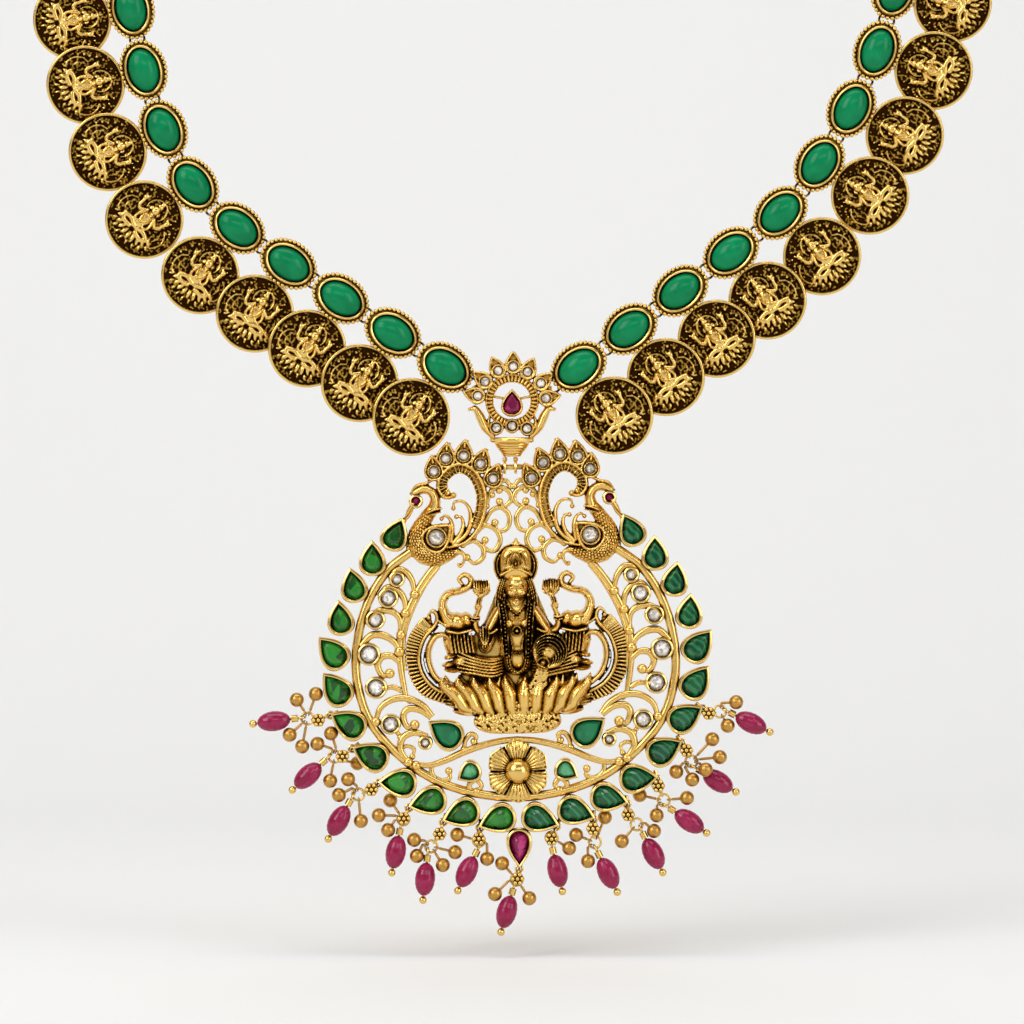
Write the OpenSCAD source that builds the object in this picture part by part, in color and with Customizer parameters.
// Temple jewellery necklace: coin links with oval cabochons, a vase shaped link
// and a swinging peacock pendant with a fringe of ruby drops.
// The loop hangs in the XZ plane, its front looks along -Y, and the origin is the
// middle of the clasp at the nape. All lengths are millimetres.

/* [Coin links] */
// Coin links on each side of the neck
link_count = 9; // [7:1:9]
// Length of the beaded oval rim, along the strand
rim_l = 10.2; // [9:0.1:10.4]
// Width of the beaded oval rim
rim_w = 7.9; // [7:0.1:8.2]
// Length of the bezel wall round a cabochon
bezel_l = 8.4; // [7.6:0.1:8.6]
// Width of the bezel wall round a cabochon
bezel_w = 6.2; // [5.6:0.1:6.4]
// Thickness of the bezel wall
bezel_t = 0.5; // [0.4:0.05:0.7]
// Height of a cabochon over its seat
cabochon_h = 2.1; // [1.6:0.1:2.6]
// Diameter of a coin
coin_d = 13; // [11:0.1:13.2]
// Thickness of a coin at its rim
coin_t = 1; // [0.8:0.05:1.1]
// Distance from a cabochon's centre to its coin's centre
coin_reach = 10; // [9.4:0.1:10.6]
// Angle by which each coin link lies over the next one
shingle = 9; // [8:0.5:11]
// Space between two rims on the left strand
rim_gap_left = 0.2; // [0.15:0.05:0.5]
// Space between two rims on the right strand
rim_gap_right = 0.35; // [0.15:0.05:0.5]

/* [Neck loop] */
// Radius of the hidden stretch behind the neck
nape_r = 66; // [62:1:72]
// Length of a back chain link
chain_l = 9; // [8:0.1:10]
// Width of a back chain link
chain_w = 5; // [4.6:0.1:5.6]
// Wire of the back chain
chain_wire = 1.2; // [1:0.05:1.3]
// Diameter of the barrel clasp
clasp_d = 5; // [4:0.1:6]
// Length of the barrel clasp
clasp_l = 11; // [9:0.5:14]
// Wire of the jump rings
ring_wire = 0.4; // [0.35:0.05:0.45]

/* [Vase link] */
// Outer radius of the vase link's ring
vase_ring_r = 4.5; // [4.2:0.1:4.7]
// Width of the vase link's ring
vase_ring_w = 1.4; // [1.1:0.1:1.5]
// Radius of the cup at its rim
cup_r = 3.8; // [3.4:0.1:4]
// Height of the ribbed cup
cup_h = 3.3; // [2.8:0.1:3.4]
// Inner radius of the wire loops that hold the pendant
hang_loop_r = 0.7; // [0.65:0.05:0.8]

/* [Pendant] */
// Lean of the pendant to the right
pendant_lean = 1.1; // [0:0.1:2]
// Diameter of the bar that the pendant swings on
bar_d = 0.9; // [0.8:0.05:1]
// Thickness of the pendant's scrolls
plate_t = 1.4; // [1.2:0.1:1.8]
// Height of the bezels over the scrolls
wall_h = 1.3; // [1:0.1:1.6]
// Width of the outer wire and the arch
wire_w = 1.1; // [0.9:0.05:1.2]
// Length of a stone in the lower border
leaf_l = 5.2; // [5:0.1:5.8]
// Width of a stone in the lower border
leaf_w = 3.6; // [3.2:0.1:3.8]
// Share of the border stones' size that the upper ones have
upper_leaf = 0.88; // [0.8:0.01:1]
// Thickness of the walls round the border stones
leaf_wall = 0.45; // [0.35:0.05:0.5]
// Radius of the flower's ball
flower_ball_r = 2.2; // [1.8:0.1:2.4]
// Length of a flower petal
petal_l = 3.2; // [2.8:0.1:3.4]

/* [Drops] */
// Length of a ruby bead
ruby_l = 5.6; // [5:0.1:5.8]
// Diameter of a ruby bead
ruby_d = 3.4; // [3:0.1:3.5]
// Diameter of a gold ball
ball_d = 2.4; // [2:0.1:2.5]
// Diameter of the small ball under a ruby bead
tip_ball_d = 1.3; // [1:0.1:1.5]
// Radius of a drop ring, to the middle of its wire
drop_ring_r = 1; // [0.95:0.05:1.1]
// Diameter of the drops' wires
drop_wire = 0.4; // [0.35:0.05:0.45]

/* [Hidden] */
$fn = 48;
clear = 0.12;
loop_r = 0.6;
loop_at = rim_l / 2 - 0.85;
seat_t = 0.7;
plate_h = 0.45;
bead_w = 0.85;
stone_l = bezel_l - 2 * bezel_t - 2 * clear;
stone_w = bezel_w - 2 * bezel_t - 2 * clear;
cup_top = 5;
vase_ring_z = 11;
vase_eye = [6, 13];
hang_x = [-1.2, 0.6];
hang_wire = 0.5;

// Chosen points of the strands, [outwards, up] from the middle of the bar
LEFT_ROUTE = [[6, 13], [11.3, 16.7], [28.8, 28.2], [46, 40], [53.3, 47.3],
    [58, 56.2], [61.3, 66.2], [63.4, 76.5], [65.3, 86]];
RIGHT_ROUTE = [[6, 13], [11.2, 16.7], [28, 29.3], [44.7, 42.3], [51.3, 50.8],
    [56.5, 59.8], [60.8, 69.5], [63.6, 79.5], [65.4, 88]];
nape_z = 95;
nape_h = nape_z + nape_r;

// Border stones of the right half: [across, up, angle of the tip]
UPPER_LEAVES = [[19.7, -11.1, 115], [23.5, -15.1, 90], [26.7, -19.5, 80], [29, -24.9, 84]];
LOWER_LEAVES = [[30.3, -30.5, 50], [29.8, -36.6, 52], [27.8, -42.3, 30], [24.2, -47.7, 27],
    [19.7, -52.2, 3], [14.8, -55.3, -14], [9.3, -57.4, -20], [3.3, -58.5, -20]];

// Round white stones of the right half: [across, up, radius]
VINE_STONES = [[19.5, -18.3, 0.85], [21, -21.4, 1.2], [23.2, -25, 1.15], [24.4, -30.7, 1.4],
    [23.3, -36.3, 1.35], [21, -42.4, 1.2], [15.3, -45.6, 0.7]];

// Flame bezels of a peacock's crest: [across, up, angle of the tip]
FLAMES = [[3.2, -1.9, 113], [5.2, 0.6, 108], [8, 2, 97], [11, 1.6, 97], [13, -0.5, 84]];
flame_stone_r = 0.85;

// Prong set and small pears of the right half: [across, up, angle, length, width]
BIG_PEAR = [11.7, -44.2, 35, 5.2, 3.8];
SMALL_PEAR = [8, -50.6, -30, 3.1, 2.6];
breast = [12.8, -11.5];
breast_r = 1.35;
eye = [16.1, -5.4];
eye_r = 0.65;
CENTRE_RUBY = [0, -63, -90, 5.4, 3.1];
flower = [0, -50.6];

// Petals of the vase link: [across, up, angle of the tip]
VASE_PETALS = [[-5.7, 11.8, 165], [-4.5, 14.2, 140], [-2.3, 16, 115], [0.2, 16.7, 90],
    [2.6, 15.8, 66], [4.8, 13.9, 42], [5.65, 11.4, 12]];
vase_white_r = 0.7;
VASE_BASE_STONES = [[-2.6, 6.5], [0, 6.8], [2.5, 6.4]];
VASE_RUBY = [0, 10.4, 90, 3.6, 2.7];

// Drops: [cap across, cap up, bead across, bead up, angle of the bead's lower end]
DROPS = [[-33, -41.5, -40.5, -41.6, 186], [-29.1, -47.6, -35, -50.8, 221],
    [-24.4, -53.2, -30, -58.4, 239], [-19.1, -58.1, -20.6, -63.8, 258],
    [-13.2, -60.8, -15.8, -68.4, 263], [-6.7, -61.7, -8.8, -67.3, 243],
    [-0.4, -68.5, -2.3, -74.1, 253], [5.4, -62, 6.3, -67.45, 282],
    [12.3, -60.4, 14.7, -68, 295], [18.2, -58.2, 22.3, -64.9, 296],
    [23.3, -53.5, 28.4, -59.6, 325], [28.1, -47.7, 33.3, -53, 328],
    [31.9, -41.6, 39, -43.4, 333]];

// Gold balls: [drop, across, up, height to the front, turn of its eye round the ring]
BALLS = [[0, -36.6, -38.1, 0, -6], [0, -33.4, -37.2, 0, 0], [0, -37.9, -43.9, 0, 0],
    [0, -35.85, -45.9, 0, 0], [1, -33.3, -45.5, 0, -34], [1, -31, -43.8, 0, -19],
    [1, -31.3, -51.7, 0, 0], [1, -26.8, -49, -1.8, -7], [2, -28.3, -51.5, 0, -25],
    [2, -29.9, -54.1, 0, -49], [2, -26.3, -58.5, 0, 0], [3, -23.3, -57.6, 0, -15],
    [3, -21.8, -60.1, 0, -29], [3, -21.4, -55.3, -1.6, 0], [4, -17.5, -61.8, 0, -22],
    [4, -17.1, -64.5, 0, -47], [4, -12.8, -66.1, 0, 0], [4, -10.7, -64, 0, 0],
    [5, -10.3, -61.1, 0, 0], [5, -5.4, -65.2, 0, 47], [6, -2.9, -66, 0, 0],
    [6, -4.2, -71.1, 0, -23], [6, 1.5, -71.9, 0, 0], [7, 8.3, -63.7, 0, 0],
    [8, 9.5, -61.5, 0, 0], [8, 11.4, -65.9, 0, -36], [8, 14.4, -58.8, -1.6, 0],
    [9, 17.1, -62.7, 0, 0], [9, 22.5, -61.1, 0, 31], [10, 23, -58.5, 0, -28],
    [10, 20.3, -55.2, -1.6, 0], [10, 28.1, -55.7, 0, 0], [11, 26.4, -51.3, 0, -24],
    [11, 29, -52.6, 0.6, -52], [11, 31.2, -50.9, 2, 14], [11, 33.7, -49, 0, 6],
    [11, 32.5, -46, 0, 0], [12, 35.1, -43.8, 0, 0], [12, 36.6, -39.9, 0, 52]];

SIDES = ["l", "r"];
COIN_LINKS = [for (s = SIDES, i = [1:link_count]) str("coin_link_", s, i)];
CABOCHONS = [for (s = SIDES, i = [1:link_count]) str("cabochon_", s, i)];

// Small helpers

function sum_to(v, n) = n < 0 ? 0 : v[n] + sum_to(v, n - 1);
function unit(v) = v / norm(v);
function angle_of(v) = atan2(v[1], v[0]);
function aim(angle) = [cos(angle), sin(angle)];
function spline_point(a, b, c, d, t) =
    0.5 * (2 * b + (c - a) * t + (2 * a - 5 * b + 4 * c - d) * t * t
    + (3 * b - a - 3 * c + d) * t * t * t);
// Smooth open curve through the points, with steps for each span
function smooth(p, steps) = let (last = len(p) - 1) concat(
    [for (i = [0:last - 1], k = [0:steps - 1])
        spline_point(i == 0 ? 2 * p[0] - p[1] : p[i - 1], p[i], p[i + 1],
            i == last - 1 ? 2 * p[last] - p[last - 1] : p[i + 2], k / steps)],
    [p[last]]);
// Outline of a stone or a drop shape with its tip at +X
function pear(l, w, n = 14) = [for (i = [0:n - 1]) let (a = 360 * i / n - 180)
    [l / 2 * cos(a) + 0.06 * l, w / 2 / 0.77 * sin(a) * abs(sin(a / 2))]];

// Turns flat work so that its second axis points up and its height comes to the front
module upright() {
    rotate([90, 0, 0]) children();
}

module ellipse(l, w) {
    scale([l, w]) circle(d = 1);
}

module slab(low, high) {
    translate([0, 0, low]) linear_extrude(high - low) children();
}

module place(at, angle = 0) {
    translate([at[0], at[1], 0]) rotate(angle) children();
}

module both_halves() {
    children();
    mirror([1, 0, 0]) children();
}

// A wire's flat shape along a smooth line, as wide as w, with pointed ends
module stroke(points, w, steps = 0) {
    line = smooth(points, steps > 0 ? steps : len(points) > 6 ? 1 : 2);
    last = len(line) - 1;
    side = [for (i = [0:last]) let (d = unit(line[min(i + 1, last)] - line[max(i - 1, 0)]))
        [-d[1], d[0]] * w / 2];
    polygon(concat([line[0] + unit(line[0] - line[1]) * w / 2], [for (i = [0:last]) line[i] + side[i]],
        [line[last] + unit(line[last] - line[last - 1]) * w / 2],
        [for (i = [last:-1:0]) line[i] - side[i]]));
}

// A wire ring round the Z axis
module wire_ring(r, d) {
    rotate_extrude() translate([r, 0]) circle(d = d);
}

// A wire ring that stands up from flat work, across the direction given
module standing_ring(at, angle, r, d) {
    translate([at[0], at[1], 0]) rotate([90, 0, angle]) wire_ring(r, d);
}

// The strand's route: places and directions along its length

function half_loop(route) = concat(smooth(route, 8),
    [for (a = [4:4:90]) [nape_r * cos(a), nape_z + nape_r * sin(a)]]);
function run_of(line) = let (d = [for (i = [1:len(line) - 1]) norm(line[i] - line[i - 1])])
    [for (i = [0:len(line) - 1]) sum_to(d, i - 1)];
function along(line, run, s) = let (k = [for (i = [0:len(line) - 1]) [run[i], line[i][0]]],
    m = [for (i = [0:len(line) - 1]) [run[i], line[i][1]]]) [lookup(s, k), lookup(s, m)];

left_line = half_loop(LEFT_ROUTE);
right_line = half_loop(RIGHT_ROUTE);
left_run = run_of(left_line);
right_run = run_of(right_line);
function line_of(side) = side == "l" ? left_line : right_line;
function run_list(side) = side == "l" ? left_run : right_run;
function at_run(side, s) = along(line_of(side), run_list(side), s);
function heading(side, s) = angle_of(at_run(side, s + 0.6) - at_run(side, s - 0.6));
function rim_gap(side) = side == "l" ? rim_gap_left : rim_gap_right;
function link_run(side, i) = loop_at + 2.2 + i * (rim_l + rim_gap(side));
// A point of coin link i in the side's own frame, as [across, up, height]
function on_link(side, i, along_link, height) = let (s = link_run(side, i), p = at_run(side, s),
    a = angle_of(at_run(side, s + rim_l / 2) - at_run(side, s - rim_l / 2)),
    t = along_link * cos(shingle) - height * sin(shingle),
    h = along_link * sin(shingle) + height * cos(shingle))
    [p[0] + t * cos(a), p[1] + t * sin(a), h];

module strand_frame(side) {
    translate([0, 0, -nape_h]) upright() mirror([side == "l" ? 1 : 0, 0, 0]) children();
}

module on_strand(side, i) {
    s = link_run(side, i);
    p = at_run(side, s);
    a = angle_of(at_run(side, s + rim_l / 2) - at_run(side, s - rim_l / 2));
    strand_frame(side) translate([p[0], p[1], 0]) rotate(a) rotate([0, -shingle, 0]) children();
}

// Coin link: the strand runs along X, the coin lies to -Y, the front is +Z

module beaded_oval(l, w, beads) {
    polygon([for (i = [0:beads * 2 - 1]) let (a = 180 * i / beads, out = i % 2 == 1 ? 0.05 : -0.15)
        [(l / 2 + out) * cos(a), (w / 2 + out) * sin(a)]]);
}

module setting() {
    difference() {
        union() {
            slab(plate_h, plate_h + seat_t + 0.35) beaded_oval(rim_l, rim_w, 22);
            slab(plate_h + 0.1, plate_h + seat_t + 1.25) ellipse(bezel_l, bezel_w);
        }
        slab(plate_h + seat_t, 10) ellipse(bezel_l - 2 * bezel_t, bezel_w - 2 * bezel_t);
        // Room under the rim for the ring that climbs from the link before
        translate([-rim_l / 2 - 0.2, 0, plate_h - 0.1]) rotate([0, 45, 0]) cube([1.66, 3.4, 1.66], center = true);
    }
    for (end = [-1, 1]) {
        translate([end * loop_at, 0, 0]) rotate([90, 0, 0]) wire_ring(loop_r, ring_wire);
        translate([end * loop_at, 0, loop_r - 0.1]) cylinder(d = 0.8, h = 0.4);
    }
}

module coin_figure() {
    // Seated figure in low relief with its head towards the cabochon
    place([0, 2.6]) difference() {
        circle(r = 1.55);
        circle(r = 1.2);
    }
    place([0, 2.5]) circle(r = 0.8);
    place([0, 3.5]) circle(r = 0.5, $fn = 5);
    polygon([[-0.9, 1.9], [0.9, 1.9], [1.4, 0.3], [1, -1.4], [2.6, -2], [2.4, -2.9],
        [-2.4, -2.9], [-2.6, -2], [-1, -1.4], [-1.4, 0.3]]);
    for (m = [-1, 1]) {
        polygon([[m * 0.8, 1.8], [m * 2.2, 0.3], [m * 3, 1.9], [m * 2.4, 2], [m * 2.1, 1.2], [m * 0.8, 2.4]]);
        place([m * 2.8, 2.3]) circle(r = 0.55);
    }
    for (a = [-48:24:48]) {
        place([4.4 * sin(a), -4.4 * cos(a) - 0.1], a)
            polygon([[-0.55, 0.3], [0, 1.1], [0.55, 0.3], [0.4, -0.8], [-0.4, -0.8]]);
    }
}

module coin() {
    low = 0.3;
    translate([0, 0, low]) cylinder(d = coin_d, h = coin_t - 0.35);
    translate([0, 0, low]) difference() {
        cylinder(d = coin_d, h = coin_t);
        translate([0, 0, -1]) cylinder(d = coin_d - 1.2, h = coin_t + 2);
    }
    slab(low + coin_t - 0.5, low + coin_t + 0.25) coin_figure();
}

module coin_link() {
    setting();
    translate([0, -coin_reach, 0]) coin();
}

module cabochon() {
    translate([0, 0, plate_h + seat_t + clear]) difference() {
        scale([stone_l / 2, stone_w / 2, cabochon_h]) sphere(r = 1);
        translate([0, 0, -5]) cube([20, 20, 10], center = true);
    }
}

module all_coin_links(side, i) {
    color("goldenrod") on_strand(side, i) coin_link();
}

module all_cabochons(side, i) {
    color("mediumseagreen") on_strand(side, i) cabochon();
}

// Jump rings between the loops, worked out from the loops that they hold

module ring_between(side, a, b) {
    middle = (a + b) / 2;
    d = b - a;
    turn = atan2(d[1], d[0]);
    lift = atan2(d[2], norm([d[0], d[1]]));
    strand_frame(side) translate(middle) rotate([0, -lift, turn]) wire_ring(norm(d) / 2, ring_wire);
}

chain_start_gap = 3;
function chain_start(side) = link_run(side, link_count - 1) + loop_at * cos(shingle) + chain_start_gap;
function side_run(side) = run_list(side)[len(run_list(side)) - 1];
clasp_eye_r = 1.5;
clasp_eye_at = clasp_l / 2 + clasp_eye_r - 0.3;

module strand_rings() {
    color("saddlebrown") for (side = SIDES) {
        ring_between(side, [vase_eye[0], vase_eye[1], 0], on_link(side, 0, -loop_at, 0));
        for (i = [0:link_count - 2]) {
            ring_between(side, on_link(side, i, loop_at, 0), on_link(side, i + 1, -loop_at, 0));
        }
        first = at_run(side, chain_start(side));
        ring_between(side, on_link(side, link_count - 1, loop_at, 0), [first[0], first[1], 0]);
    }
}

// Back chain of oval links, each a quarter turn from the next

module oval_wire_link() {
    bend = (chain_w - chain_wire) / 2;
    straight = chain_l - chain_w;
    for (end = [0, 1]) {
        rotate(180 * end) {
            translate([straight / 2, 0, 0]) rotate(-90) rotate_extrude(angle = 180)
                translate([bend, 0]) circle(d = chain_wire);
            translate([-straight / 2, bend, 0]) rotate([0, 90, 0]) cylinder(d = chain_wire, h = straight);
        }
    }
}

reach = chain_l - chain_wire;
first_wire = ring_wire / 2 + chain_wire / 2 + clear;
function chain_span(side) = side_run(side) - clasp_eye_at - clear - chain_start(side);
slack = chain_wire + clear;
pitch_max = reach - slack;
function chain_links(side) = ceil((chain_span(side) + first_wire - reach) / pitch_max) + 1;
function chain_pitch(side) = (chain_span(side) + first_wire - reach) / (chain_links(side) - 1);
function chain_run(side, k) = chain_start(side) - first_wire + reach / 2
    + k * chain_pitch(side);

module back_chain(side) {
    color("darkgoldenrod") for (k = [0:chain_links(side) - 1]) {
        s = chain_run(side, k);
        p = at_run(side, s);
        strand_frame(side) translate([p[0], p[1], 0]) rotate([k % 2 == 0 ? 90 : 0, 0, heading(side, s)])
            oval_wire_link();
    }
}

module clasp() {
    color("goldenrod") {
        rotate([0, 90, 0]) cylinder(d = clasp_d, h = clasp_l, center = true);
        for (end = [-1, 1]) {
            side = end < 0 ? "l" : "r";
            across = chain_links(side) % 2 == 0 ? 0 : 90;
            translate([end * clasp_eye_at, 0, 0]) rotate([across, 0, 0]) wire_ring(clasp_eye_r, 0.9);
        }
    }
}

// Vase link and its stones, in the frame of the bar

module bar_frame() {
    translate([0, 0, -nape_h]) upright() children();
}

module pear_seat(l, w, wall) {
    polygon(pear(l + 2 * wall + 2 * clear, w + 2 * wall + 2 * clear));
}

module pear_wall(l, w, wall) {
    difference() {
        pear_seat(l, w, wall);
        polygon(pear(l + 2 * clear, w + 2 * clear));
    }
}

vase_low = -0.4;
vase_top = 0.8;
vase_wall = 1.9;

module vase_flat() {
    offset(delta = 0.01) {
        difference() {
            translate([0, vase_ring_z]) circle(r = vase_ring_r, $fn = 36);
            translate([0, vase_ring_z]) circle(r = vase_ring_r - vase_ring_w, $fn = 32);
        }
        for (p = VASE_PETALS) place(p, p[2]) translate([0.3, 0]) polygon(pear(3.5, 2.5));
        place(VASE_RUBY, VASE_RUBY[2]) pear_seat(VASE_RUBY[3], VASE_RUBY[4], 0.45);
        for (p = VASE_BASE_STONES) place(p) circle(r = 1.2, $fn = 16);
        for (m = [-1, 1]) {
            stroke([[m * 3.4, 4.8], [m * 4.5, 6.6], [m * 5.3, 8.4], [m * 6.1, 9.7], [m * 7, 9.5]], 1);
            stroke([[m * 0.9, 11.4], [m * 3.5, 11.7]], 0.6);
        }
        translate([-cup_r, 4]) square([2 * cup_r, 1.6]);
        for (m = [-1, 1]) translate([m * vase_eye[0], vase_eye[1]]) circle(r = 0.9, $fn = 10);
    }
}

module vase_walls() {
    offset(delta = 0.01) {
        difference() {
            translate([0, vase_ring_z]) circle(r = vase_ring_r, $fn = 36);
            translate([0, vase_ring_z]) circle(r = vase_ring_r - 0.45, $fn = 36);
            for (p = VASE_BASE_STONES) place(p) circle(r = vase_white_r + clear, $fn = 16);
        }
        for (p = VASE_PETALS) place(p, p[2]) difference() {
            translate([0.3, 0]) polygon(pear(3.5, 2.5));
            circle(r = vase_white_r + clear, $fn = 16);
        }
        for (p = VASE_BASE_STONES) place(p) difference() {
            circle(r = 1.2, $fn = 16);
            circle(r = vase_white_r + clear, $fn = 16);
        }
        place(VASE_RUBY, VASE_RUBY[2]) pear_wall(VASE_RUBY[3], VASE_RUBY[4], 0.45);
        for (m = [-1, 1]) {
            stroke([[m * 3.4, 4.8], [m * 4.5, 6.6], [m * 5.3, 8.4], [m * 6.1, 9.7], [m * 7, 9.5]], 0.6);
        }
    }
}

module vase_cup() {
    // Half round ribbed cup with a rim
    foot_z = cup_top - cup_h;
    intersection() {
        translate([0, 0, vase_low]) scale([1, 1, 0.75]) rotate([-90, 0, 0]) rotate_extrude()
            polygon([[0, foot_z], [1.5, foot_z], [1.8, foot_z + 0.5], [2.5, foot_z + 1.5],
                [cup_r - 0.9, cup_top - 1.2], [cup_r, cup_top - 0.9], [cup_r, cup_top - 0.3],
                [cup_r - 0.6, cup_top], [0, cup_top]]);
        translate([0, 0, 10 + vase_low]) cube([20, 40, 20], center = true);
    }
}

module ring_pocket() {
    // Room under the petals for the first ring of each strand
    hull() {
        translate([vase_eye[0] + 0.95, vase_eye[1] + 0.9]) circle(r = 1.6, $fn = 24);
        translate([vase_eye[0] - 0.3, vase_eye[1] - 0.3]) circle(r = 1.2, $fn = 24);
    }
}

module vase_link() {
    color("goldenrod") bar_frame() {
        difference() {
            slab(vase_low, vase_top) vase_flat();
            slab(vase_low - 1, loop_r - 0.05) both_halves() ring_pocket();
        }
        slab(vase_top - 0.1, vase_wall) vase_walls();
        vase_cup();
        for (x = hang_x) {
            r = hang_loop_r + hang_wire / 2;
            translate([x, 0, 0]) rotate([0, 90, 0]) wire_ring(r, hang_wire);
            translate([x, r - 0.05, 0]) rotate([-90, 0, 0]) cylinder(d = 0.7, h = cup_top - cup_h - r + 0.4);
        }
        for (m = [-1, 1]) {
            a = angle_of(LEFT_ROUTE[1] - LEFT_ROUTE[0]);
            standing_ring([m * vase_eye[0], vase_eye[1]], m > 0 ? a : -a, loop_r, ring_wire);
            translate([m * vase_eye[0], vase_eye[1], loop_r - 0.1]) cylinder(d = 0.8, h = 0.4);
        }
    }
}

// Round stone with a flat table over a cone, and a pavilion under it
module cut_round(r, seat) {
    sides = 10;
    rotate(18) translate([0, 0, seat]) {
        cylinder(r = r, h = 0.3, $fn = sides);
        translate([0, 0, 0.3]) cylinder(r1 = r, r2 = r * 0.6, h = r * 0.45, $fn = sides);
    }
}

// Pear stone with a table and twelve crown facets
module cut_pear(l, w, seat, crown) {
    n = 12;
    low = pear(l, w, n);
    table = [for (p = low) [p[0] * 0.55, p[1] * 0.55]];
    girdle = 0.5;
    polyhedron(concat([for (p = low) [p[0], p[1], seat]], [for (p = low) [p[0], p[1], seat + girdle]],
        [for (p = table) [p[0], p[1], seat + girdle + crown]]),
        concat([[for (i = [0:n - 1]) i]], [[for (i = [n - 1:-1:0]) 2 * n + i]],
        [for (k = [0, 1], i = [0:n - 1]) [k * n + i, (k + 1) * n + i,
            (k + 1) * n + (i + 1) % n, k * n + (i + 1) % n]]));
}

module vase_stones() {
    bar_frame() {
        color("crimson") place(VASE_RUBY, VASE_RUBY[2])
            cut_pear(VASE_RUBY[3], VASE_RUBY[4], vase_top + clear, 0.8);
        color("white") {
            for (p = VASE_PETALS) place(p) cut_round(vase_white_r, vase_top + clear);
            for (p = VASE_BASE_STONES) place(p) cut_round(vase_white_r, vase_top + clear);
        }
    }
}

// Pendant: flat work in the frame of the bar, right half mirrored to the left

module pendant_space() {
    translate([0, 0, -nape_h]) rotate([0, -pendant_lean, 0]) upright() children();
}

plate_low = -plate_t / 2 - 0.1;
wall_step = 0.06;
plate_top = plate_low + plate_t;
seat_h = plate_top - 0.2 + clear;
wall_top = plate_top + wall_h;

OUTER_WIRE = [[17.1, -13.8], [21.1, -16.9], [24.5, -22.3], [26.4, -29.3], [26.3, -36.3],
    [23.6, -43.3], [17, -49.9], [9.4, -53.6], [0, -55]];
ARCH = [[11.2, -15.2], [13.1, -16.3], [15.3, -19.1], [17.3, -22.6], [18.8, -26.4],
    [19.3, -29.8], [19.1, -33.5], [18.4, -38]];
TAIL = [[11.6, -13.3], [8.2, -12.5], [6, -10.4], [4.9, -7.9], [4.5, -4.9], [5.1, -2.4],
    [6.4, -0.4], [8.4, 0.6], [10.4, 0.1], [12, -1.5], [12.3, -3.3], [11.5, -4.7],
    [10.4, -4.9], [9.7, -4.3]];
BODY = [[12, -6.1], [14.2, -6.3], [15.5, -8.6], [16.9, -10.6], [17.5, -12.6], [17.3, -14.4],
    [16.1, -15.7], [13.9, -16.5], [11.1, -15.6], [9.1, -14.9], [8.7, -14], [9.4, -13.1],
    [11.8, -12.6], [14.4, -12.4], [14.6, -10.2], [12.6, -8.2]];

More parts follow.
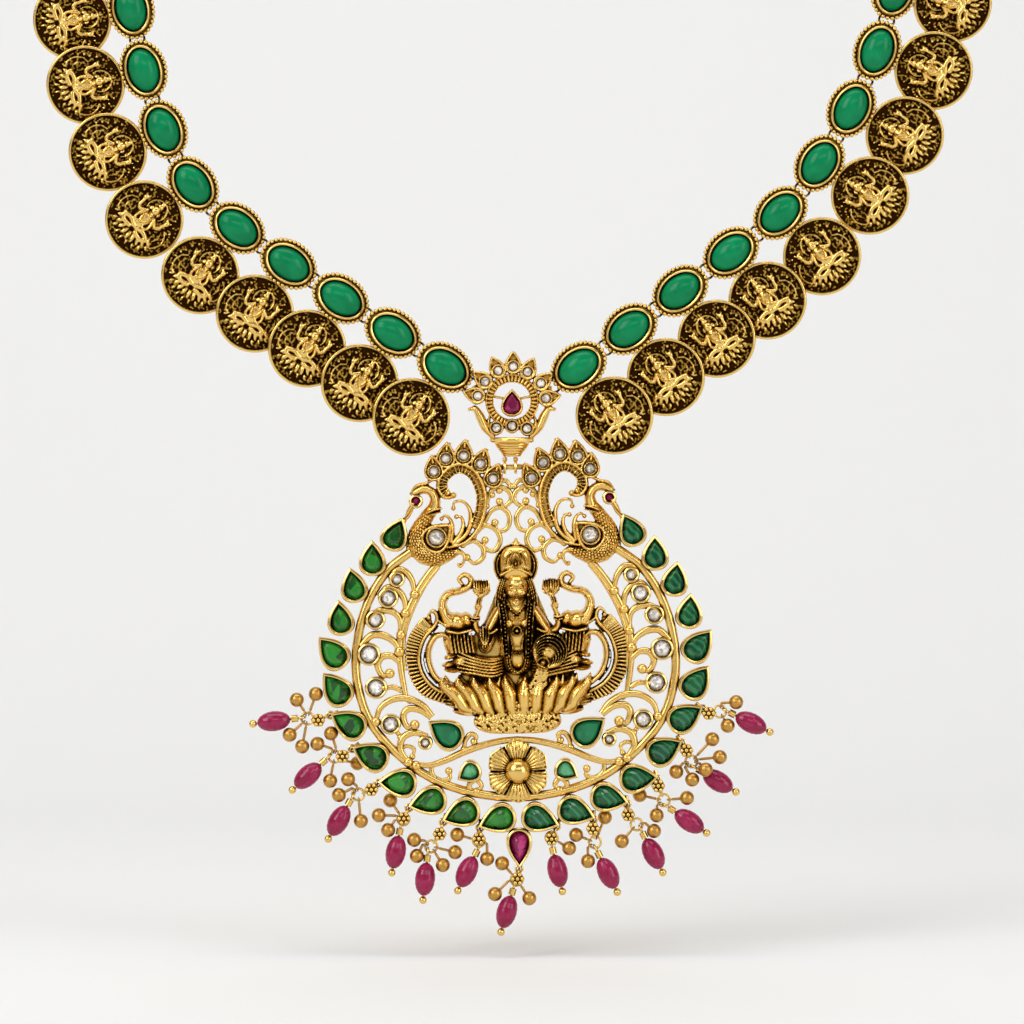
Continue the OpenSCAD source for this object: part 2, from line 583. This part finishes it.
// Scrolls of the right half: [width, points]
SCROLLS = [
    // Peacock: neck, head, beak and head feather
    [1.7, [[13.1, -6.4], [13, -4.9], [13.7, -3.7], [15.1, -3.4], [16.2, -4.1]]],
    [0.7, [[16.6, -6.2], [17.3, -7.6], [18.2, -8.8]]],
    [0.6, [[13.6, -1.5], [14.8, -2.5], [16.3, -3], [17.2, -4.6]]],
    // Peacock: plumes inside the tail
    [0.6, [[9.7, -12.7], [7.8, -11], [7.05, -9], [7.2, -6.9], [8.3, -5.6], [9.7, -5.7], [10, -6.7], [9.3, -6.8]]],
    [0.7, [[10, -12.5], [8.8, -11], [8.3, -9.5], [8.6, -8.2], [9.4, -8.1]]],
    [0.6, [[10.3, -12], [10.1, -10], [10.5, -8.5], [11.3, -7.9], [11.9, -8.4]]],
    // Lace between the tails
    [0.5, [[4.4, -6.4], [3.6, -4], [2, -3.3], [0.5, -4.2], [0.3, -5.6], [1.4, -6.5], [2.2, -5.7]]],
    [0.5, [[4.9, -9.4], [3.6, -7.3], [1.9, -6.7], [0.6, -8.2], [1, -10.2], [2.6, -10.6], [3, -9.2]]],
    [0.5, [[6.6, -11.4], [4.8, -9.7], [2.9, -10.4], [2.2, -12.2], [3.2, -13.9], [4.8, -13.4], [4.7, -12.1]]],
    [0.5, [[8.4, -12.8], [6.6, -12.2], [5.1, -13.4], [5.2, -15.1], [6.6, -15.9], [7.8, -14.9]]],
    [0.8, [[8.3, -13.6], [8.1, -15], [8.5, -16.4], [9.2, -16.6]]],
    // Vine between the arch and the outer wire
    [0.7, [[16.6, -20.9], [17, -18.6], [18.2, -17], [19.6, -16.9], [20.6, -18.3]]],
    [0.7, [[18.2, -24], [18.3, -21.9], [19.3, -20.3], [21.1, -19.7], [22.6, -21.2]]],
    [0.7, [[19, -27.6], [19.2, -24.9], [20.6, -23.6], [22.8, -23.6], [24.4, -25.2]]],
    [0.8, [[19.3, -30.4], [20.2, -28.7], [22, -27.6], [24, -27.6], [25.7, -29.3]]],
    [0.8, [[19.3, -32.2], [20.6, -31.1], [22.2, -31.2], [23, -32.6], [22.2, -34.3], [21, -34]]],
    [0.8, [[19, -37], [20.3, -36.3], [21.9, -36.4]]],
    // Lower scrolls
    [0.9, [[14, -41.3], [15.6, -39.4], [18.1, -38.2], [20.6, -38.3], [22.7, -39.7], [23.5, -42]]],
    [0.8, [[14.2, -41.5], [16, -40.2], [17.9, -39.9], [18.9, -41], [18.3, -42.9], [17, -42.6]]],
    [0.8, [[14.9, -44.6], [17, -43.9], [18.9, -44.6], [19.5, -46.4], [18.6, -48.2], [16.9, -49.4]]],
    [0.6, [[19.4, -46.6], [18.3, -46.1], [17.2, -46.7], [17.5, -47.9]]],
    [1, [[-0.1, -45.3], [3, -45.6], [6, -46.3], [9, -47.3], [12, -48.6], [15, -49.4], [18.2, -48.8]]],
    [0.6, [[8.9, -46.8], [8.6, -45.3], [7.7, -44.3], [6.8, -44.8], [7.2, -45.6]]],
    [0.7, [[14.4, -49.3], [14.2, -51], [12.9, -52], [11.4, -51.6], [11.5, -50.4]]],
    [0.6, [[7.9, -54], [8.1, -52.7], [7, -51.9], [6.1, -53], [6.9, -53.9]]],
    // Small links between the parts
    [0.6, [[18.3, -11.2], [17.4, -13.2]]],
    [0.5, [[9.3, -46.9], [9.6, -45.8]]],
    [0.6, [[18.4, -38], [17.8, -38.6]]],
    [0.9, [[2.3, -0.2], [3.3, -2.4], [3.4, -4.6]]],
    [0.8, [[21, -42.4], [19.4, -44.6]]]];

module round_seat(p, r) {
    place(p) circle(r = r, $fn = 14);
}

module flame(p) {
    // Drop shaped bezel whose tip curls like a flame
    tip = aim(p[2]) * 2.4;
    bend = aim(p[2] - 50) * 1.1;
    place(p) {
        circle(r = flame_stone_r + 0.5, $fn = 12);
        polygon([aim(p[2] - 95) * 1.3, bend + aim(p[2]) * 0.6, tip + aim(p[2] - 90) * 0.35,
            tip + aim(p[2] + 90) * 0.5, aim(p[2] + 60) * 1.25, aim(p[2] + 130) * 1.2]);
        translate(tip + aim(p[2] + 90) * 0.3) circle(r = 0.45, $fn = 6);
    }
}

module half_flat() {
    stroke(OUTER_WIRE, wire_w, 3);
    stroke(ARCH, wire_w);
    stroke(TAIL, 1);
    stroke([for (i = [3:9]) TAIL[i] + unit([8.4, -4.5] - TAIL[i]) * 1.1], 1.5);
    polygon(BODY);
    for (s = SCROLLS) stroke(s[1], s[0]);
    for (p = UPPER_LEAVES) place(p, p[2]) pear_seat(leaf_l * upper_leaf, leaf_w * upper_leaf, leaf_wall);
    for (p = LOWER_LEAVES) place(p, p[2]) pear_seat(leaf_l, leaf_w, leaf_wall);
    for (p = VINE_STONES) round_seat(p, p[2] + 0.5);
    for (p = FLAMES) flame(p);
    round_seat(breast, breast_r + 0.9);
    round_seat(eye, eye_r + 0.6);
    place(BIG_PEAR, BIG_PEAR[2]) pear_seat(BIG_PEAR[3], BIG_PEAR[4], 0.6);
    place(SMALL_PEAR, SMALL_PEAR[2]) pear_seat(SMALL_PEAR[3], SMALL_PEAR[4], 0.5);
}

module bezel_touches() {
    // Short solder joints between the bezels and the outer wire
    for (p = concat(UPPER_LEAVES, LOWER_LEAVES)) {
        near = nearest(OUTER_JOINTS, [p[0], p[1]]);
        stroke([[p[0], p[1]], near], 0.9, 1);
    }
}

OUTER_JOINTS = smooth(OUTER_WIRE, 6);
function nearest(points, p) = let (d = [for (q = points) norm(q - p)], m = min(d))
    [for (i = [0:len(points) - 1]) if (d[i] == m) points[i]][0];

module right_of_middle() {
    offset(delta = 0) intersection() {
        children();
        translate([0, -80]) square([60, 100]);
    }
}

module frame_flat() {
    right_of_middle() {
        half_flat();
        bezel_touches();
        place(CENTRE_RUBY, CENTRE_RUBY[2]) pear_seat(CENTRE_RUBY[3], CENTRE_RUBY[4], 0.5);
        stroke([flower, [0, -59.6]], 1.6, 1);
    }
}

module half_walls() {
    right_of_middle() stroke(OUTER_WIRE, wire_w * 0.7, 3);
    stroke(ARCH, wire_w * 0.7);
    stroke(TAIL, 0.8);
    polygon(BODY);
    for (p = UPPER_LEAVES) place(p, p[2]) pear_wall(leaf_l * upper_leaf, leaf_w * upper_leaf, leaf_wall);
    for (p = LOWER_LEAVES) place(p, p[2]) pear_wall(leaf_l, leaf_w, leaf_wall);
    for (p = VINE_STONES) round_seat(p, p[2] + 0.5);
    for (p = FLAMES) flame(p);
    round_seat(breast, breast_r + 0.9);
    round_seat(eye, eye_r + 0.6);
    place(BIG_PEAR, BIG_PEAR[2]) pear_wall(BIG_PEAR[3], BIG_PEAR[4], 0.6);
    place(SMALL_PEAR, SMALL_PEAR[2]) pear_wall(SMALL_PEAR[3], SMALL_PEAR[4], 0.5);
}

module half_holes() {
    for (p = VINE_STONES) round_seat(p, p[2] + clear);
    for (p = FLAMES) round_seat(p, flame_stone_r + clear);
    round_seat(breast, breast_r + clear);
    round_seat(eye, eye_r + clear);
}

module frame_walls() {
    // Slightly inside the scrolls that carry them
    offset(delta = -wall_step) difference() {
        half_walls();
        half_holes();
    }
}

module ruby_wall() {
    slab(plate_top - 0.3, wall_top) offset(delta = -wall_step)
        place(CENTRE_RUBY, CENTRE_RUBY[2]) pear_wall(CENTRE_RUBY[3], CENTRE_RUBY[4], 0.5);
}

// Eye of the frame that carries a drop: from the drop's cap towards the nearest tip
TIPS = concat([for (m = [-1, 1], i = [2:7]) let (p = LOWER_LEAVES[i])
    [m * (p[0] + (leaf_l * 0.56 + leaf_wall) * cos(p[2])), p[1] + (leaf_l * 0.56 + leaf_wall) * sin(p[2])]],
    [[0, CENTRE_RUBY[1] - CENTRE_RUBY[3] * 0.56 - 0.5]]);
function cap_at(d) = [DROPS[d][0], DROPS[d][1]];
function tip_of(d) = nearest(TIPS, cap_at(d));
cap_eye_r = 0.8;
function frame_eye(d) = tip_of(d) + unit(cap_at(d) - tip_of(d)) * 0.42;
function cap_eye(d) = frame_eye(d) + unit(cap_at(d) - tip_of(d)) * cap_eye_r;

module frame_eyes() {
    difference() {
        for (d = [0:len(DROPS) - 1]) {
            place(frame_eye(d)) cylinder(r = 0.7, h = 0.6, center = true, $fn = 16);
            stroke_slab(frame_eye(d), frame_eye(d) + unit(tip_of(d) - cap_at(d)) * 1.3);
        }
        for (d = [0:len(DROPS) - 1]) {
            place(frame_eye(d)) cylinder(r = 0.38, h = 5, center = true, $fn = 16);
        }
    }
}

module stroke_slab(a, b) {
    slab(-0.3, 0.3) stroke([a, b], 0.7, 1);
}

module flower_petals() {
    for (a = [30:60:359]) place(flower, a) translate([flower_ball_r + petal_l / 2 - 0.4, 0, plate_low]) {
        linear_extrude(plate_t + 0.9) ellipse(petal_l, 2.9);
    }
}

module pendant_frame() {
    color("goldenrod") pendant_space() {
        both_halves() {
            slab(plate_low, plate_top - 0.2) frame_flat();
            slab(plate_top - 0.3, wall_top) frame_walls();
        }
        ruby_wall();
        frame_eyes();
        flower_petals();
        place(flower) translate([0, 0, plate_top]) sphere(r = flower_ball_r);
        rotate([0, 90, 0]) cylinder(d = bar_d, h = 5, center = true);
        for (m = [-1, 1]) translate([m * 2.4, -0.6, -0.45]) linear_extrude(0.9)
            square([0.9, 1.6], center = true);
    }
}

module leaf_stones() {
    color("darkgreen") pendant_space() both_halves() {
        for (p = UPPER_LEAVES) place(p, p[2])
            cut_pear(leaf_l * upper_leaf, leaf_w * upper_leaf, seat_h, 1.1);
        for (p = LOWER_LEAVES) place(p, p[2]) cut_pear(leaf_l, leaf_w, seat_h, 1.2);
    }
}

module green_pears() {
    color("green") pendant_space() both_halves() {
        place(BIG_PEAR, BIG_PEAR[2]) cut_pear(BIG_PEAR[3], BIG_PEAR[4], seat_h, 1.4);
        place(SMALL_PEAR, SMALL_PEAR[2]) cut_pear(SMALL_PEAR[3], SMALL_PEAR[4], seat_h, 1);
    }
}

module white_stones() {
    color("white") pendant_space() both_halves() {
        for (p = VINE_STONES) place(p) cut_round(p[2], seat_h);
        for (p = FLAMES) place(p) cut_round(flame_stone_r, seat_h);
        place(breast) cut_round(breast_r, seat_h);
    }
}

module pendant_rubies() {
    color("crimson") pendant_space() {
        both_halves() place(eye) translate([0, 0, seat_h]) cylinder(r = eye_r, h = 1.1);
        place(CENTRE_RUBY, CENTRE_RUBY[2]) cut_pear(CENTRE_RUBY[3], CENTRE_RUBY[4], seat_h, 1.2);
    }
}

// Cast figure: seated on a lotus between two elephants, under a halo

figure_x = 0.3;
fig_back = -0.6;

module blob(a, r, b, s) {
    hull() {
        translate(a) sphere(r = r, $fn = r > 1.4 ? 8 : 6);
        translate(b) sphere(r = s, $fn = s > 1.4 ? 8 : 6);
    }
}

module limb(points) {
    // Points are [across, up, height, radius]
    for (i = [0:len(points) - 2]) {
        a = points[i];
        b = points[i + 1];
        blob([a[0], a[1], a[2]], a[3], [b[0], b[1], b[2]], b[3]);
    }
}

module ribbed_wing() {
    // Ribbed fringe arch beside an elephant
    limb([for (t = [0:4]) let (a = 80 - t * 40) [9.4 + 6 * cos(a), -31.5 + 7.4 * sin(a), 0.2, 0.9]]);
    for (t = [0:5]) {
        a = 78 - t * 31;
        at = [9.4 + 6 * cos(a), -31.5 + 7.4 * sin(a)];
        out = at + 2 * [cos(a), sin(a)];
        blob([at[0], at[1], 0.3], 0.8, [out[0], out[1], 0], 0.75);
    }
}

module elephant() {
    limb([[9.6, -26, 1, 2.2], [10.6, -29, 0.8, 2.4], [9.8, -32.6, 0.6, 2.2]]);
    limb([[11.4, -24.6, 1.6, 1.6], [12, -21.8, 1.6, 0.95], [9.4, -20, 1.6, 0.75],
        [8.3, -18.6, 1.6, 0.7], [9, -17.6, 1.6, 0.7]]);
    blob([8.6, -25.4, 2], 1.1, [9.8, -27, 1.6], 1.5);
    limb([[12, -27.4, 1, 0.5], [13.8, -26.6, 1, 0.5], [15, -24.8, 0.8, 0.7]]);
}

module lotus_throne() {
    for (m = [-1, 1], k = [0:5]) {
        foot = [m * (0.6 + k * 1.55), -40.6 + k * 0.16];
        tip = [m * (0.7 + k * 2.15), -35.3 - k * 0.12 - (k > 3 ? (k - 3) * 0.5 : 0)];
        blob([foot[0], foot[1] + 1, 1.4 - k * 0.12], 1.2, [tip[0], tip[1], 2.2 - k * 0.2], 0.45);
    }
    hull() for (x = [-8, -4, 4, 8]) translate([x, -42.4 + abs(x) * 0.07, 0.4]) sphere(r = 1.2, $fn = 8);
    hull() for (x = [-6, 6]) translate([x, -41.3, 0.9]) sphere(r = 1.2, $fn = 8);
}

module seated_figure() {
    // Torso, hips and crossed legs
    blob([0, -24, 1.2], 2.4, [0, -30, 1.2], 2.1);
    blob([0, -32.6, 1], 2.6, [0, -30, 1.4], 2);
    for (m = [-1, 1]) {
        limb([[m * 2, -32.6, 1.6, 1.7], [m * 6.4, -33.4, 1.8, 1.6], [m * 8, -32.6, 1.4, 1.3]]);
        limb([[m * 8, -32.8, 1.8, 1], [m * 3, -34.6, 2.4, 0.9]]);
        limb([[m * 2.8, -23.6, 1.2, 1.2], [m * 5, -26.4, 1.2, 0.9], [m * 6.2, -25.2, 1.8, 0.7],
            [m * 5.9, -22.6, 2, 0.65], [m * 5.8, -19.7, 2, 1]]);
        blob([m * 2, -20.5, 0.6], 1.6, [m * 4.2, -25, 0.4], 1.2);
    }
    limb([[-3, -25.4, 2, 1.1], [-4.8, -29.6, 2.6, 0.9], [-5.2, -27.6, 3.2, 0.9]]);
    limb([[3, -25.4, 2, 1.1], [4.6, -28.4, 2.6, 0.9]]);
    // Neck, head, crown and finial
    blob([0, -20, 1.6], 1.75, [0, -21.2, 1.6], 1.35);
    blob([0, -17.4, 1.4], 1.9, [0, -15.2, 1], 1.3);
    blob([0, -14, 0.8], 1, [0, -12.6, 0.6], 0.5);
    // Halo disc and garland
    translate([0, -16.2, fig_back]) cylinder(r = 3.35, h = 1, $fn = 28);
    limb([[-2.1, -31, 3.2, 0.4], [-1.2, -33.2, 3.2, 0.4], [1.2, -33.2, 3.2, 0.4], [2.1, -31, 3.2, 0.4]]);
    blob([-2.1, -31, 3.2], 0.4, [-2.6, -23, 2.6], 0.4);
    blob([2.1, -31, 3.2], 0.4, [2.6, -23, 2.6], 0.4);
}

module pot_and_coins() {
    translate([4.9, -30.4, 2.4]) scale([1, 1, 0.75]) sphere(r = 2.8, $fn = 10);
    blob([5, -31.6, 3.2], 1.7, [4.4, -33, 2.8], 1.2);
    limb([[4.2, -33.2, 2.6, 1.1], [3.2, -36.5, 2.4, 1.1], [2.2, -39, 2, 2]]);
    blob([-3.4, -42.9, 1.2], 1.4, [3.8, -42.9, 1.2], 1.45);
}

module goddess_figure() {
    color("darkgoldenrod") pendant_space() translate([figure_x, 0, 0.25]) intersection() {
        union() {
            seated_figure();
            pot_and_coins();
            lotus_throne();
            both_halves() {
                elephant();
                ribbed_wing();
            }
            translate([0, -36, fig_back]) linear_extrude(0.9) polygon([[-9, -5], [9, -5], [11.5, 2], [9, 9],
                [4, 14.5], [-4, 14.5], [-9, 9], [-11.5, 2]]);
        }
        translate([0, -30, 10 + fig_back]) cube([60, 60, 20], center = true);
    }
}

// Drops: caps with their rings, gold balls, ruby beads and head pins

bead_gap = 0.15;
wrap_l = 1.1;
function bead_aim(d) = aim(DROPS[d][4]);
function pin_loop(d) = [DROPS[d][2], DROPS[d][3]] - bead_aim(d) * (ruby_l / 2 + bead_gap + wrap_l + loop_r);
function ring_at(d) = let (away = cap_at(d) - pin_loop(d))
    pin_loop(d) + unit(away) * drop_ring_r;

module drop_caps() {
    color("goldenrod") pendant_space() for (d = [0:len(DROPS) - 1]) {
        c = cap_at(d);
        low = loop_r + drop_wire / 2 + 0.05;
        place(c) {
            translate([0, 0, low]) cylinder(r = 1.05, h = 0.5);
            translate([0, 0, low + 0.6]) sphere(r = 0.37);
            for (a = [0:60:300]) rotate(a) translate([0.78, 0, low + 0.55]) sphere(r = 0.37);
        }
        translate(ring_at(d)) wire_ring(drop_ring_r, drop_wire);
        standing_ring(cap_eye(d), angle_of(c - tip_of(d)), cap_eye_r, drop_wire);
        r = ring_at(d);
        hold = r + unit(r - pin_loop(d)) * drop_ring_r;
        post = cap_eye(d) + unit(c - tip_of(d)) * 0.5;
        translate([post[0], post[1], 0.5]) cylinder(d = 0.45, h = low - 0.3);
        translate([hold[0], hold[1], -0.12]) cylinder(d = 0.5, h = low + 0.32);
        slab(low, low + 0.4) stroke([c, hold + unit(hold - c) * 0.1], 0.62, 1);
    }
}

ball_eye_r = 0.42;
ball_wire = 0.26;

module gold_balls() {
    color("goldenrod") pendant_space() for (b = BALLS) {
        at = [b[1], b[2], b[3]];
        r = ring_at(b[0]);
        away = aim(angle_of([b[1], b[2]] - r) + b[4]);
        hook = [r[0] + away[0] * drop_ring_r, r[1] + away[1] * drop_ring_r, 0];
        near = hook + ball_eye_r * [away[0], away[1], 0];
        standing_ring(hook, angle_of(away), ball_eye_r, ball_wire);
        d = at - near;
        translate(near) rotate([0, acos(d[2] / norm(d)), atan2(d[1], d[0])])
            cylinder(d = 0.45, h = norm(d));
        translate(at) rotate(angle_of(away)) sphere(d = ball_d);
    }
}

module bead_frame(d) {
    pendant_space() translate([DROPS[d][2], DROPS[d][3], 0]) rotate(DROPS[d][4]) children();
}

module ruby_beads() {
    n = 10;
    hole = 0.35;
    color("crimson") for (d = [0:len(DROPS) - 1]) bead_frame(d) rotate([0, 90, 0]) rotate_extrude()
        polygon(concat([[hole, -ruby_l / 2 * 0.96], [hole, ruby_l / 2 * 0.96]],
            [for (i = [1:n - 1]) [max(ruby_d / 2 * sin(180 * i / n), hole + 0.05),
                ruby_l / 2 * cos(180 * i / n)]]));
}

module head_pins() {
    color("darkgoldenrod") for (d = [0:len(DROPS) - 1]) bead_frame(d) {
        rotate([0, 90, 0]) cylinder(d = 0.45, h = ruby_l + 2 * bead_gap + 0.4, center = true);
        translate([ruby_l / 2 + bead_gap + tip_ball_d / 2 - 0.1, 0, 0]) sphere(d = tip_ball_d);
        translate([-ruby_l / 2 - bead_gap - wrap_l, 0, 0]) rotate([0, 90, 0]) cylinder(d = 1.2, h = wrap_l);
        translate([-ruby_l / 2 - bead_gap - wrap_l - loop_r, 0, 0]) rotate([90, 0, 0])
            wire_ring(loop_r, drop_wire);
    }
}

for (s = SIDES, i = [1:link_count]) {
    all_coin_links(s, i - 1);
    all_cabochons(s, i - 1);
}
strand_rings();
back_chain("l");  // back_chain_left
back_chain("r");  // back_chain_right
clasp();
vase_link();
vase_stones();
pendant_frame();
goddess_figure();
leaf_stones();
green_pears();
white_stones();
pendant_rubies();
drop_caps();
gold_balls();
ruby_beads();
head_pins();
